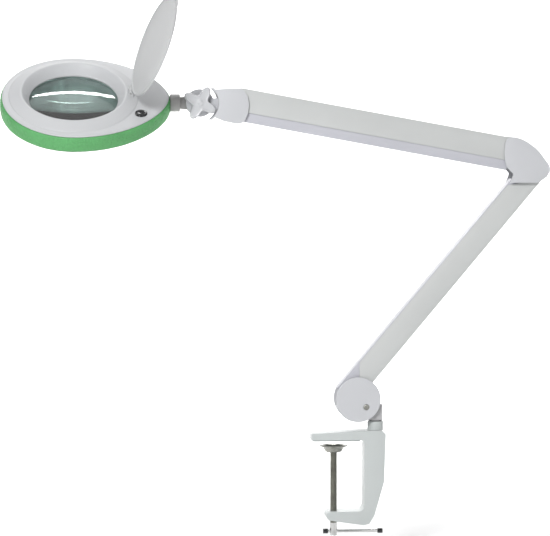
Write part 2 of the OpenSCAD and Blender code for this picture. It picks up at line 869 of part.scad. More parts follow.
module lid_hinge_bracket() {
    color("#d9dad9") on_neck() difference() {
        for (y = [-9, 5]) translate([0, y + 4, 0]) rotate([90, 0, 0]) linear_extrude(4) {
            translate([hinge_x, hinge_z]) circle(r = knuckle_r);
            polygon([[hinge_x - 3, hinge_z - 1], [hinge_x + 3, hinge_z - 1],
                [hinge_x + 4, rim_z - 5.2], [hinge_x - 4, rim_z - 2.2]]);
        }
        rod_y([hinge_x, hinge_z], hinge_pin_r, -30, 30);
        rotate_extrude() polygon([[rim_r - 10, -20], [rim_r - 10, rim_z - 0.4],
            [rim_r + 2, rim_z - 0.5], [crease_r, crease_z + 0.1], [crease_r, -20]]);
    }
}

module lid_hinge_pin() {
    color(steel) on_neck() rod_y([hinge_x, hinge_z], hinge_pin_r, -10, 10);
}

module lens_cover() {
    color("#dfe0df") on_neck() translate([hinge_x, 0, hinge_z]) rotate([0, lid_open, 0])
        translate([-hinge_x, 0, -hinge_z]) difference() {
            union() {
                translate([0, 0, rim_z + 0.7]) cylinder(r = lid_r, h = lid_t);
                tube(lid_r - 2, lid_r, rim_z + 0.4, rim_z + 3.4);
                translate([-lid_r - 5, -8, rim_z + 0.9]) cube([10, 16, 1.6]);
                rod_y([hinge_x, hinge_z], knuckle_r, -4.6, 4.6);
                translate([lid_r - 3, -4.6, rim_z + 0.7]) cube([hinge_x - lid_r + 3, 9.2, 2.4]);
            }
            rod_y([hinge_x, hinge_z], hinge_pin_r + run, -30, 30);
        }
}

clamp_body();
jaw_liner();
swivel_bush();
pressure_pad();
clamp_screw();
tommy_bar();
tommy_bar_caps();
base_bracket();
swivel_pin();
base_cover_front();
base_cover_rear();
base_cover_screws();
base_pivot_pins();
lower_outer_channel();
lower_inner_channel();
lower_spring();
lower_spring_post();
elbow_bracket();
elbow_cover_front();
elbow_cover_rear();
elbow_cover_screws();
elbow_pivot_pins();
upper_outer_channel();
upper_inner_channel();
upper_spring();
upper_spring_post();
head_bracket();
head_cover_front();
head_cover_rear();
head_cover_screws();
head_pivot_pins();
tilt_fork();
lock_nut();
star_knob();
tilt_bolt();
neck_tongue();
friction_washers();
neck_collar();
neck_socket();
top_shell();
bottom_shell();
lens_tube();
side_band();
lens();
lens_ring();
led_board();
leds();
diffuser_ring();
driver_board();
shell_screws();
switch_bezel();
lid_hinge_bracket();
lid_hinge_pin();
switch_button();
lens_cover();
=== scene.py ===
import bpy, bmesh, json, math
from mathutils import Matrix, Vector


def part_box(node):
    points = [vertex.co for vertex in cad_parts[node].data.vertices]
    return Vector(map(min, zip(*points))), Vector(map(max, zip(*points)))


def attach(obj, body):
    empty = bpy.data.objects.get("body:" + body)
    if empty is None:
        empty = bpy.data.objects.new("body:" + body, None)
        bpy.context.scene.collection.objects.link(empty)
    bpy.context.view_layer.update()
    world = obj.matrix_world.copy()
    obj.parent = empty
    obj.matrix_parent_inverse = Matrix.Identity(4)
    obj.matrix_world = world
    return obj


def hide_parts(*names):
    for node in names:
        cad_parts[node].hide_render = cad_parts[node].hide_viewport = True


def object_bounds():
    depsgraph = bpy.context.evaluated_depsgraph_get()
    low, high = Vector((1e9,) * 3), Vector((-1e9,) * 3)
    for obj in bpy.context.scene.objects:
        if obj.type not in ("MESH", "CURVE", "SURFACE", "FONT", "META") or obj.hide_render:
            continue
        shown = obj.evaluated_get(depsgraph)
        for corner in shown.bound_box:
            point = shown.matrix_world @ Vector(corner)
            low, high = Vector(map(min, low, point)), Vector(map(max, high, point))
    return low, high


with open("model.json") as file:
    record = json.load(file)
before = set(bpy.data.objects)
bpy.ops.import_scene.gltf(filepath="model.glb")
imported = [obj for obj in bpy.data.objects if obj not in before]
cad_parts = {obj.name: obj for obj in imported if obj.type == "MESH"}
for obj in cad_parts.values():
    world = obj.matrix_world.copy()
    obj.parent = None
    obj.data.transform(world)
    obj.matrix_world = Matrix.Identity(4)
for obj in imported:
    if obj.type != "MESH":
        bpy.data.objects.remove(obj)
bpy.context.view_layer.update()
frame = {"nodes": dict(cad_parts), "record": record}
record = frame["record"]
mm = 0.001
print("frame loaded:", len(frame["nodes"]), "nodes")


def middle(node):
    low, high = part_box(node)
    return (Vector(low) + Vector(high)) / 2


def anchor(jointName):
    found = next(j for j in record["behaviour"]["joints"] if j["name"] == jointName)
    return Vector(found["pos_m"])


def socketOf(shader, name, value):
    if name in shader.inputs:
        shader.inputs[name].default_value = value


def makeMaterial(name, colour, roughness, metallic=0.0, coat=0.0, ior=1.5):
    mat = bpy.data.materials.new(name)
    mat.use_nodes = True
    tree = mat.node_tree
    shader = tree.nodes["Principled BSDF"]
    socketOf(shader, "Base Color", (*colour, 1))
    socketOf(shader, "Roughness", roughness)
    socketOf(shader, "Metallic", metallic)
    socketOf(shader, "Coat Weight", coat)
    socketOf(shader, "Coat Roughness", 0.12)
    socketOf(shader, "IOR", ior)
    return mat, tree, shader


def objectCoords(tree, scale=(1, 1, 1)):
    coords = tree.nodes.new("ShaderNodeTexCoord")
    mapping = tree.nodes.new("ShaderNodeMapping")
    mapping.inputs["Scale"].default_value = scale
    tree.links.new(coords.outputs["Object"], mapping.inputs["Vector"])
    return mapping.outputs["Vector"]


def noiseNode(tree, vector, scale, detail=3.0, rough=0.5):
    noise = tree.nodes.new("ShaderNodeTexNoise")
    noise.inputs["Scale"].default_value = scale
    noise.inputs["Detail"].default_value = detail
    noise.inputs["Roughness"].default_value = rough
    tree.links.new(vector, noise.inputs["Vector"])
    return noise.outputs["Fac"]


def rangeNode(tree, value, low, high, fromLow=0.3, fromHigh=0.7):
    mapper = tree.nodes.new("ShaderNodeMapRange")
    mapper.inputs["From Min"].default_value = fromLow
    mapper.inputs["From Max"].default_value = fromHigh
    mapper.inputs["To Min"].default_value = low
    mapper.inputs["To Max"].default_value = high
    tree.links.new(value, mapper.inputs["Value"])
    return mapper.outputs["Result"]


def blendColour(tree, shader, factor, first, second):
    mix = tree.nodes.new("ShaderNodeMix")
    mix.data_type = "RGBA"
    mix.inputs["A"].default_value = (*first, 1)
    mix.inputs["B"].default_value = (*second, 1)
    tree.links.new(factor, mix.inputs["Factor"])
    tree.links.new(mix.outputs["Result"], shader.inputs["Base Color"])


def addBump(tree, shader, height, strength, distance):
    bump = tree.nodes.new("ShaderNodeBump")
    bump.inputs["Strength"].default_value = strength
    bump.inputs["Distance"].default_value = distance
    tree.links.new(height, bump.inputs["Height"])
    tree.links.new(bump.outputs["Normal"], shader.inputs["Normal"])


def shade(colour, factor):
    return tuple(min(1.0, c * factor) for c in colour)


def paintedMetal(name, colour, roughness, grain):
    mat, tree, shader = makeMaterial(name, colour, roughness, coat=0.12)
    vector = objectCoords(tree)
    broad = noiseNode(tree, vector, 9, 4)
    fine = noiseNode(tree, vector, grain, 2)
    blendColour(tree, shader, rangeNode(tree, broad, 0, 1), shade(colour, 0.965), shade(colour, 1.025))
    tree.links.new(rangeNode(tree, fine, roughness - 0.05, roughness + 0.07), shader.inputs["Roughness"])
    addBump(tree, shader, fine, 0.16, 0.00012)
    return mat


def mouldedPlastic(name, colour, roughness, grain=900, coat=0.0):
    mat, tree, shader = makeMaterial(name, colour, roughness, coat=coat)
    vector = objectCoords(tree)
    cloud = noiseNode(tree, vector, 14, 3)
    fine = noiseNode(tree, vector, grain, 2)
    blendColour(tree, shader, rangeNode(tree, cloud, 0, 1), shade(colour, 0.975), shade(colour, 1.015))
    tree.links.new(rangeNode(tree, cloud, roughness - 0.04, roughness + 0.05), shader.inputs["Roughness"])
    addBump(tree, shader, fine, 0.10, 0.00008)
    return mat


def turnedSteel(name, colour, roughness, stretch, scale=260):
    mat, tree, shader = makeMaterial(name, colour, roughness, metallic=1.0)
    vector = objectCoords(tree, stretch)
    lines = noiseNode(tree, vector, scale, 4, 0.6)
    spots = noiseNode(tree, objectCoords(tree), 60, 4, 0.6)
    blendColour(tree, shader, rangeNode(tree, spots, 0, 1), shade(colour, 0.8), shade(colour, 1.12))
    tree.links.new(rangeNode(tree, lines, roughness - 0.08, roughness + 0.12), shader.inputs["Roughness"])
    addBump(tree, shader, lines, 0.2, 0.00006)
    return mat


def greenRubber(name, colour):
    mat, tree, shader = makeMaterial(name, colour, 0.5)
    vector = objectCoords(tree)
    cells = tree.nodes.new("ShaderNodeTexVoronoi")
    cells.inputs["Scale"].default_value = 240
    tree.links.new(vector, cells.inputs["Vector"])
    cloud = noiseNode(tree, vector, 25, 4)
    blendColour(tree, shader, rangeNode(tree, cloud, 0, 1), shade(colour, 0.88), shade(colour, 1.1))
    dimples = rangeNode(tree, cells.outputs["Distance"], 0, 1, 0.05, 0.6)
    sheen = rangeNode(tree, cells.outputs["Distance"], 0.42, 0.6, 0.1, 0.6)
    tree.links.new(sheen, shader.inputs["Roughness"])
    addBump(tree, shader, dimples, 0.85, 0.0008)
    return mat


def lensGlass(name):
    # Teal base colour: partly the real tint of the glass, partly painted shade that darkens the view through
    # the lens to stand in for the shadow seen through it.
    mat, tree, shader = makeMaterial(name, (0.74, 0.90, 0.85), 0.02, ior=1.52)
    socketOf(shader, "Transmission Weight", 1.0)
    vector = objectCoords(tree)
    haze = noiseNode(tree, vector, 30, 2)
    tree.links.new(rangeNode(tree, haze, 0.01, 0.035), shader.inputs["Roughness"])
    return mat


def milkyPlastic(name):
    mat, tree, shader = makeMaterial(name, (0.93, 0.94, 0.94), 0.45)
    socketOf(shader, "Subsurface Weight", 0.3)
    socketOf(shader, "Subsurface Scale", 0.004)
    vector = objectCoords(tree)
    addBump(tree, shader, noiseNode(tree, vector, 700, 2), 0.1, 0.0001)
    return mat


def ledYellow(name):
    mat, tree, shader = makeMaterial(name, (0.93, 0.78, 0.25), 0.35)
    vector = objectCoords(tree)
    blendColour(tree, shader, rangeNode(tree, noiseNode(tree, vector, 500, 2), 0, 1),
                (0.93, 0.76, 0.22), (0.97, 0.88, 0.5))
    return mat


casting = paintedMetal("castingPaint", (0.59, 0.625, 0.62), 0.42, 620)
armPaint = paintedMetal("armPaint", (0.60, 0.615, 0.61), 0.38, 760)
armInnerPaint = paintedMetal("armInnerPaint", (0.565, 0.57, 0.62), 0.4, 760)
bracketPaint = paintedMetal("bracketPaint", (0.50, 0.50, 0.51), 0.42, 640)
collarPaint = paintedMetal("collarPaint", (0.38, 0.375, 0.37), 0.4, 640)
coverPlastic = mouldedPlastic("coverPlastic", (0.62, 0.63, 0.655), 0.42, 1100)
shellPlastic = mouldedPlastic("shellPlastic", (0.62, 0.63, 0.645), 0.5, 1400, 0.04)
lidPlastic = mouldedPlastic("lidPlastic", (0.58, 0.59, 0.595), 0.45, 1400, 0.05)
knobPlastic = mouldedPlastic("knobPlastic", (0.61, 0.62, 0.64), 0.34, 1500, 0.1)
blackPlastic = mouldedPlastic("blackPlastic", (0.012, 0.012, 0.014), 0.16, 1500, 0.6)
linerRubber = mouldedPlastic("linerRubber", (0.42, 0.45, 0.44), 0.8, 420)
circuitGreen = mouldedPlastic("circuitGreen", (0.05, 0.22, 0.08), 0.35, 900)
platedSteel = turnedSteel("platedSteel", (0.42, 0.42, 0.385), 0.3, (1, 1, 0.1))
threadSteel = turnedSteel("threadSteel", (0.36, 0.36, 0.32), 0.33, (0.2, 0.2, 1))
brightSteel = turnedSteel("brightSteel", (0.72, 0.72, 0.71), 0.14, (1, 1, 0.2))
greenBand = greenRubber("greenBand", (0.125, 0.43, 0.15))
glass = lensGlass("magnifierGlass")
milky = milkyPlastic("milkyDiffuser")
ledFace = ledYellow("ledFace")


def finishPiece(bm, name, body, slotName, materials, nodes=(), sharp=35, outward=True):
    if outward:
        bmesh.ops.recalc_face_normals(bm, faces=bm.faces[:])
    mesh = bpy.data.meshes.new(name)
    bm.to_mesh(mesh)
    bm.free()
    for material in materials:
        mesh.materials.append(material)
    mesh.shade_smooth()
    mesh.set_sharp_from_angle(angle=math.radians(sharp))
    piece = bpy.data.objects.new(name, mesh)
    bpy.context.scene.collection.objects.link(piece)
    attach(piece, body)
    if nodes:
        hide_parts(*nodes)
    return piece


def bodyOf(node):
    return next(b for b, members in record["behaviour"]["bodies"].items() if node in members)


def slotOf(node):
    return next(s["material_slot"] for s in record["subparts"] if s["node"] == node)


def softCopy(node, width, material, segments=2, sharp=38, limit=35):
    bm = bmesh.new()
    bm.from_mesh(frame["nodes"][node].data)
    bmesh.ops.remove_doubles(bm, verts=bm.verts[:], dist=2e-6)
    bmesh.ops.dissolve_limit(bm, angle_limit=math.radians(0.6), verts=bm.verts[:], edges=bm.edges[:])
    corners = [e for e in bm.edges if len(e.link_faces) == 2 and e.calc_face_angle(0) > math.radians(limit)]
    bmesh.ops.bevel(bm, geom=corners, offset=width, offset_type="OFFSET", segments=segments,
                    profile=0.5, affect="EDGES", clamp_overlap=True, material=-1)
    bmesh.ops.remove_doubles(bm, verts=bm.verts[:], dist=2e-6)
    bmesh.ops.triangulate(bm, faces=[f for f in bm.faces if len(f.verts) > 4])
    return finishPiece(bm, node + "_finished", bodyOf(node), slotOf(node), [material], [node], sharp, False)


def spinPoints(bm, points, steps=96):
    verts = [bm.verts.new((r, 0, z)) for r, z in points]
    edges = [bm.edges.new(pair) for pair in zip(verts, verts[1:])]
    bmesh.ops.spin(bm, geom=verts + edges, cent=(0, 0, 0), axis=(0, 0, 1), dvec=(0, 0, 0),
                   angle=math.tau, steps=steps, use_merge=True, use_duplicate=False)
    bmesh.ops.remove_doubles(bm, verts=bm.verts[:], dist=1e-6)


def placed(bm, matrix):
    bmesh.ops.transform(bm, matrix=matrix, verts=bm.verts[:])


def ringStack(bm, rings, outline, segments=144):
    loops = []
    for ring in rings:
        made = bmesh.ops.create_circle(bm, cap_ends=False, radius=1, segments=segments)["verts"]
        for v in made:
            v.co = outline(math.atan2(v.co.y, v.co.x), ring)
        loops.append(list({e for v in made for e in v.link_edges}))
    for first, second in zip(loops, loops[1:] + loops[:1]):
        bmesh.ops.bridge_loops(bm, edges=first + second)


def threadedRod(bm, radius, depth, pitch, low, high, steps=20):
    turns = int((high - low) / pitch)
    root = radius - depth
    profile = [(root, low), (root, low + pitch * 0.15), (radius, low + pitch * 0.45),
               (radius, low + pitch * 0.6), (root, low + pitch)]
    verts = [bm.verts.new((r, 0, z)) for r, z in profile]
    edges = [bm.edges.new(pair) for pair in zip(verts, verts[1:])]
    bmesh.ops.spin(bm, geom=verts + edges, cent=(0, 0, 0), axis=(0, 0, 1), dvec=(0, 0, pitch / steps),
                   angle=math.tau * turns, steps=steps * turns, use_merge=False, use_duplicate=False)
    bmesh.ops.remove_doubles(bm, verts=bm.verts[:], dist=1e-6)
    openEdges = [e for e in bm.edges if len(e.link_faces) == 1]
    bmesh.ops.edgeloop_fill(bm, edges=openEdges)


def clampScrew():
    sizes = {"radius": 5.0 * mm, "depth": 0.75 * mm, "pitch": 1.5 * mm, "plainEnd": 17 * mm, "neck": 3.2 * mm}
    low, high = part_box("clamp_screw")
    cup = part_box("pressure_pad")[0][2] - 0.1 * mm
    bm = bmesh.new()
    threadedRod(bm, sizes["radius"], sizes["depth"], sizes["pitch"], low[2] + sizes["plainEnd"], cup)
    finishPiece(bm, "clamp_screw_thread", "screw", "plated_steel", [threadSteel], ["clamp_screw"], 25)
    bm = bmesh.new()
    r, top = sizes["radius"], low[2] + sizes["plainEnd"] + 1.5 * mm
    spinPoints(bm, [(0, low[2]), (r - 1.2 * mm, low[2]), (r - 0.3 * mm, low[2] + 0.5 * mm),
                    (r, low[2] + 1.4 * mm), (r, top - 0.8 * mm), (r - 0.8 * mm, top), (0, top)], 48)
    finishPiece(bm, "clamp_screw_head", "screw", "plated_steel", [brightSteel])
    bm = bmesh.new()
    neck = sizes["neck"]
    spinPoints(bm, [(0, cup - 1 * mm), (neck, cup - 1 * mm), (neck, cup + 4.4 * mm), (5 * mm, cup + 4.5 * mm),
                    (4.8 * mm, cup + 5.4 * mm), (3.4 * mm, high[2]), (0, high[2])], 40)
    finishPiece(bm, "clamp_screw_swage", "screw", "plated_steel", [brightSteel])


def pressurePad():
    low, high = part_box("pressure_pad")
    z0, z1 = low[2], high[2]
    edge = (high[0] - low[0]) / 2
    hole = 3.3 * mm
    bm = bmesh.new()
    points = [(hole, z0), (7 * mm, z0), (9.4 * mm, z0 + 0.5 * mm), (11.4 * mm, z0 + 1.8 * mm),
              (12.6 * mm, z0 + 3.6 * mm), (13.4 * mm, z0 + 5.4 * mm), (14.4 * mm, z1 - 3.2 * mm),
              (16 * mm, z1 - 2.4 * mm), (edge - 0.8 * mm, z1 - 1.7 * mm), (edge, z1 - 1.2 * mm),
              (edge, z1 - 0.4 * mm), (edge - 0.7 * mm, z1), (edge - 3 * mm, z1 - 0.3 * mm),
              (15 * mm, z1 - 1.5 * mm), (12.4 * mm, z1 - 4.4 * mm), (10.8 * mm, z0 + 4.5 * mm),
              (9 * mm, z0 + 4.3 * mm), (hole, z0 + 4.3 * mm), (hole, z0)]
    spinPoints(bm, points, 72)
    finishPiece(bm, "pressure_pad_dish", "pad", "plated_steel", [platedSteel], ["pressure_pad"])


def clampPieces():
    softCopy("clamp_body", 1.3 * mm, casting, 3)
    softCopy("jaw_liner", 0.3 * mm, linerRubber)
    softCopy("swivel_bush", 0.2 * mm, blackPlastic)
    softCopy("tommy_bar", 0.5 * mm, brightSteel)
    softCopy("tommy_bar_caps", 1.2 * mm, blackPlastic, 3)
    clampScrew()
    pressurePad()
    print("clamp done")


def crossScrews(node, sides, shank):
    sizes = {"head": 4.0 * mm, "rise": 0.25 * mm, "slotWide": 0.9 * mm, "slotDeep": 0.8 * mm,
             "slotLong": 4.8 * mm, "twist": 0.35}
    low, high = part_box(node)
    centre = middle(node)
    for side, label in sides:
        face = high[1] if side > 0 else low[1]
        bm = bmesh.new()
        r, rise = sizes["head"], sizes["rise"]
        spinPoints(bm, [(0, -shank), (1.7 * mm, -shank), (1.7 * mm, -1.5 * mm), (r, -1.4 * mm),
                        (r, -0.5 * mm), (r - 0.3 * mm, -0.15 * mm), (r - 1.0 * mm, rise * 0.6),
                        (0, rise)], 40)
        cutter = bmesh.new()
        for turn in (0, 1):
            cube = bmesh.ops.create_cube(cutter, size=1)["verts"]
            bmesh.ops.scale(cutter, vec=(sizes["slotLong"], sizes["slotWide"], sizes["slotDeep"] * 2),
                            verts=cube)
            bmesh.ops.rotate(cutter, cent=(0, 0, 0), matrix=Matrix.Rotation(turn * math.pi / 2, 3, "Z"),
                             verts=cube)
        placement = Matrix.Translation((centre.x, face, centre.z))
        placement = placement @ Matrix.Rotation(-side * math.pi / 2, 4, "X")
        placement = placement @ Matrix.Rotation(sizes["twist"], 4, "Z")
        placed(bm, placement)
        placed(cutter, placement @ Matrix.Translation((0, 0, rise)))
        screw = finishPiece(bm, f"{node}_{label}", bodyOf(node), "plated_steel", [platedSteel], [node])
        cutWith(screw, cutter)


def cutWith(piece, cutterMesh):
    bmesh.ops.recalc_face_normals(cutterMesh, faces=cutterMesh.faces[:])
    mesh = bpy.data.meshes.new("cutter")
    cutterMesh.to_mesh(mesh)
    cutterMesh.free()
    cutter = bpy.data.objects.new("cutter", mesh)
    bpy.context.scene.collection.objects.link(cutter)
    cut = piece.modifiers.new("cut", "BOOLEAN")
    cut.object = cutter
    cut.operation = "DIFFERENCE"
    cut.solver = "EXACT"
    cut.use_self = True
    bpy.context.view_layer.update()
    graph = bpy.context.evaluated_depsgraph_get()
    result = bpy.data.meshes.new_from_object(piece.evaluated_get(graph), preserve_all_data_layers=True,
                                             depsgraph=graph)
    piece.modifiers.clear()
    old = piece.data
    piece.data = result
    bpy.data.meshes.remove(old)
    bpy.data.objects.remove(cutter)


def armPieces():
    for node, material in (("lower_outer_channel", armPaint), ("upper_outer_channel", armPaint),
                           ("lower_inner_channel", armInnerPaint), ("upper_inner_channel", armInnerPaint)):
        softCopy(node, 0.55 * mm, material, 2)
    for node in ("base_bracket", "elbow_bracket", "head_bracket"):
        softCopy(node, 0.4 * mm, bracketPaint)
    for node in ("base_cover_front", "base_cover_rear", "elbow_cover_front", "elbow_cover_rear",
                 "head_cover_front", "head_cover_rear"):
        softCopy(node, 0.9 * mm, coverPlastic, 3)
    crossScrews("base_cover_screws", ((-1, "front"), (1, "rear")), 12 * mm)
    crossScrews("elbow_cover_screws", ((1, "rear"),), 40 * mm)
    crossScrews("head_cover_screws", ((1, "rear"),), 40 * mm)
    for node in ("base_pivot_pins", "elbow_pivot_pins", "head_pivot_pins", "swivel_pin", "lock_nut",
                 "lower_spring_post", "upper_spring_post", "tilt_bolt"):
        softCopy(node, 0.25 * mm, platedSteel)
    softCopy("tilt_fork", 0.9 * mm, coverPlastic, 3)
    softCopy("neck_tongue", 0.6 * mm, collarPaint, 2)
    softCopy("neck_collar", 0.8 * mm, collarPaint, 3)
    softCopy("friction_washers", 0.15 * mm, blackPlastic)
    print("arms and joints done")


def armAlong(farJoint, nearJoint):
    return (anchor(farJoint) - anchor(nearJoint)).normalized()


def balanceSpring(node, jointName, ahead):
    sizes = {"coil": 4.2 * mm, "wire": 0.8 * mm, "first": 70 * mm, "last": 220 * mm, "far": 248 * mm}
    start = anchor(jointName)
    end = start + Vector(ahead) * sizes["far"]
    curve = bpy.data.curves.new(node + "_coil", "CURVE")
    curve.dimensions = "3D"
    curve.bevel_depth = sizes["wire"]
    curve.bevel_resolution = 2
    curve.use_fill_caps = True
    spline = curve.splines.new("POLY")
    turns = int((sizes["last"] - sizes["first"]) / (2.05 * sizes["wire"]))
    steps = turns * 12
    route = [Vector((7 * mm, 0, 0)), Vector((sizes["first"] - 3 * mm, 0, 0))]
    for i in range(steps + 1):
        a = math.tau * i / 12
        x = sizes["first"] + (sizes["last"] - sizes["first"]) * i / steps
        route.append(Vector((x, sizes["coil"] * math.cos(a), sizes["coil"] * math.sin(a))))
    route += [Vector((sizes["last"] + 3 * mm, 0, 0)), Vector((sizes["far"], 0, 0))]
    xAxis = (end - start).normalized()
    frameTurn = Matrix((xAxis, Vector((0, 1, 0)), xAxis.cross(Vector((0, 1, 0))))).transposed().to_4x4()
    spline.points.add(len(route) - 1)
    for point, place in zip(spline.points, route):
        point.co = (*(start + frameTurn @ place), 1)
    holder = bpy.data.objects.new(node + "_holder", curve)
    bpy.context.scene.collection.objects.link(holder)
    bpy.context.view_layer.update()
    mesh = bpy.data.meshes.new_from_object(holder.evaluated_get(bpy.context.evaluated_depsgraph_get()))
    bpy.data.objects.remove(holder)
    bm = bmesh.new()
    bm.from_mesh(mesh)
    finishPiece(bm, node + "_coil", bodyOf(node), "plated_steel", [platedSteel], [node])


def starKnob():
    sizes = {"tip": 24.4 * mm, "waist": 11.7 * mm, "turn": math.radians(61), "lobes": 4,
             "core": 3 * mm, "back": 12.7 * mm}
    centre = anchor("knob_turn")
    place = Matrix.Translation((centre.x, centre.y - sizes["back"], centre.z))
    place = place @ Matrix.Rotation(math.pi / 2, 4, "X")

    def outline(angle, ring):
        if ring[0] == "core":
            return Vector((sizes["core"] * math.cos(angle), sizes["core"] * math.sin(angle), ring[1] * mm))
        inset, z = ring[0] * mm, ring[1] * mm
        wave = ((1 + math.cos(sizes["lobes"] * (angle - sizes["turn"]))) / 2) ** 1.35
        r = sizes["waist"] + (sizes["tip"] - sizes["waist"]) * wave
        scale = 1 - inset / (10.5 * mm + 0.25 * r)
        return Vector((r * scale * math.cos(angle), r * scale * math.sin(angle), z))

    rings = [("core", 0.8), (9, 0.8), (2.2, 0.8), (2.0, 0), (0.9, 0), (0.25, 0.35), (0, 1.1), (0, 6.2),
             (0.7, 7.0), (0.9, 7.4), (0.9, 11.4), (1.2, 12.4), (2.0, 12.95), (3.2, 12.7), (4.6, 12.3),
             (9, 12.3), ("core", 12.3)]
    bm = bmesh.new()
    ringStack(bm, rings, outline, 160)
    placed(bm, place)
    finishPiece(bm, "star_knob_lobes", "knob", "knob_plastic", [knobPlastic], ["star_knob"], 40)
    bm = bmesh.new()
    spinPoints(bm, [(0, 9 * mm), (6.4 * mm, 9 * mm), (6.4 * mm, 12.5 * mm), (5.2 * mm, 12.9 * mm),
                    (4.3 * mm, 12.9 * mm), (3.6 * mm, 13.3 * mm), (3.2 * mm, 13.9 * mm), (2.2 * mm, 14.2 * mm),
                    (0, 14.2 * mm)], 48)
    placed(bm, place)
    finishPiece(bm, "star_knob_boss", "knob", "knob_plastic", [knobPlastic])
    bm = bmesh.new()
    spinPoints(bm, [(0, -1.8 * mm), (7.6 * mm, -1.8 * mm), (8 * mm, -1.4 * mm), (8 * mm, 1.2 * mm),
                    (0, 1.2 * mm)], 48)
    placed(bm, place)
    finishPiece(bm, "star_knob_hub", "knob", "knob_plastic", [knobPlastic])


egg = {"round": 97 * mm, "nose": 130 * mm, "lensDrop": 3.5 * mm, "neckZ": -5.3 * mm}
headPlace = Matrix.Translation(middle("lens"))
lidAxis = next(j for j in record["behaviour"]["joints"] if j["name"] == "lid_swing")["axis"]
headPlace = headPlace @ Matrix.Rotation(math.atan2(lidAxis[2], lidAxis[1]), 4, "X")
headPlace = headPlace @ Matrix.Translation((0, 0, egg["lensDrop"]))


def eggOutline(angle, ring):
    kind, inset, z = ring[0], ring[1] * mm, ring[2] * mm
    if kind == "circle":
        return Vector((inset * math.cos(angle), inset * math.sin(angle), z))
    nose = math.cos(angle) > 0
    reach = egg["nose"] if nose else egg["round"]
    side = math.sin(angle) * (abs(math.sin(angle)) ** 0.2 if nose else 1)
    return Vector(((reach - inset) * math.cos(angle), (egg["round"] - inset) * side, z))


def neckCutter(radius, first):
    depth = 50 * mm
    bm = bmesh.new()
    bmesh.ops.create_cone(bm, cap_ends=True, segments=48, radius1=radius, radius2=radius, depth=depth)
    centre = (first + depth / 2, 0, egg["neckZ"])
    placed(bm, headPlace @ Matrix.Translation(centre) @ Matrix.Rotation(math.pi / 2, 4, "Y"))
    return bm


def topShell():
    rings = [("egg", 0, 2.6), ("egg", -0.7, 3.2), ("egg", -0.9, 4.0), ("egg", -0.5, 4.7), ("egg", 0.6, 5.2),
             ("egg", 3.0, 5.6), ("egg", 5.5, 5.7), ("circle", 89.6, 5.8), ("circle", 88.7, 6.1),
             ("circle", 88.2, 6.9), ("circle", 87.3, 7.3), ("circle", 80, 10.6), ("circle", 75.2, 12.9),
             ("circle", 73.6, 13.65), ("circle", 72.4, 14.0), ("circle", 71.3, 13.9), ("circle", 70.3, 13.2),
             ("circle", 66, 7.6), ("circle", 62.4, 2.5), ("circle", 61.2, 0.9), ("circle", 60.8, 0.3),
             ("circle", 61.3, 0.02), ("circle", 69.3, 0.05), ("circle", 71, 11.2), ("circle", 73, 11.2),
             ("circle", 88, 4.9), ("circle", 88.5, 3.6), ("egg", 6, 3.5), ("egg", 2.4, 3.2),
             ("egg", 2.3, -16.4), ("egg", 1.2, -16.5), ("egg", 0, -16.4)]
    bm = bmesh.new()
    ringStack(bm, rings, eggOutline, 192)
    placed(bm, headPlace)
    shell = finishPiece(bm, "top_shell_moulding", "head", "shell_plastic", [shellPlastic], ["top_shell"], 50)
    place = middle("switch_bezel")
    drill = bmesh.new()
    bmesh.ops.create_cone(drill, cap_ends=True, segments=48, radius1=7.9 * mm, radius2=7.9 * mm,
                          depth=20 * mm)
    placed(drill, Matrix.Translation(place) @ headPlace.to_quaternion().to_matrix().to_4x4())
    cutWith(shell, drill)
    cutWith(shell, neckCutter(8 * mm, 100 * mm))


def bottomShell():
    rings = [("egg", 2.4, -15.5), ("egg", 2.4, -19.5), ("egg", 0.9, -19.65), ("egg", 0.6, -20.1),
             ("egg", 0.7, -21.3), ("egg", 1.5, -22.2), ("egg", 3.0, -22.5), ("circle", 90.5, -22.5),
             ("circle", 88.0, -22.3), ("circle", 87.3, -21.8), ("circle", 87.3, -20.2), ("circle", 89, -20.1),
             ("egg", 5.6, -20.1), ("egg", 4.6, -19.5), ("egg", 4.4, -15.5)]
    bm = bmesh.new()
    ringStack(bm, rings, eggOutline, 192)
    placed(bm, headPlace)
    finishPiece(bm, "bottom_shell_moulding", "head", "shell_plastic", [shellPlastic], ["bottom_shell"], 50)


def sideBand():
    rings = [("egg", 0.3, -19.2), ("egg", -1.2, -19.5), ("egg", -2.2, -19.0), ("egg", -3.0, -17.0),
             ("egg", -3.5, -13.8), ("egg", -3.7, -8), ("egg", -3.5, -3.0), ("egg", -3.0, 0.4),
             ("egg", -2.3, 2.2), ("egg", -1.4, 2.85), ("egg", -0.4, 2.8), ("egg", -0.02, 2.2),
             ("egg", -0.02, -16)]
    bm = bmesh.new()
    ringStack(bm, rings, eggOutline, 192)
    placed(bm, headPlace)
    band = finishPiece(bm, "side_band_rubber", "head", "green_band", [greenBand], ["side_band"], 55)
    cutWith(band, neckCutter(8 * mm, 100 * mm))
    cutWith(band, neckCutter(12.5 * mm, 132.2 * mm))


def magnifier():
    sizes = {"radius": 63.5 * mm, "face": 348 * mm, "edge": 1.25 * mm, "rings": 14}

    def height(r):
        drop = sizes["face"] - math.sqrt(sizes["face"] ** 2 - r * r)
        full = sizes["face"] - math.sqrt(sizes["face"] ** 2 - sizes["radius"] ** 2)
        return sizes["edge"] + full - drop

    steps = [sizes["radius"] * i / sizes["rings"] for i in range(sizes["rings"] + 1)]
    bm = bmesh.new()
    spinPoints(bm, [(r, -height(r)) for r in steps] + [(r, height(r)) for r in reversed(steps)], 128)
    placed(bm, headPlace @ Matrix.Translation((0, 0, -egg["lensDrop"])))
    finishPiece(bm, "magnifier_lens", "head", "lens_glass", [glass], ["lens"], 40)


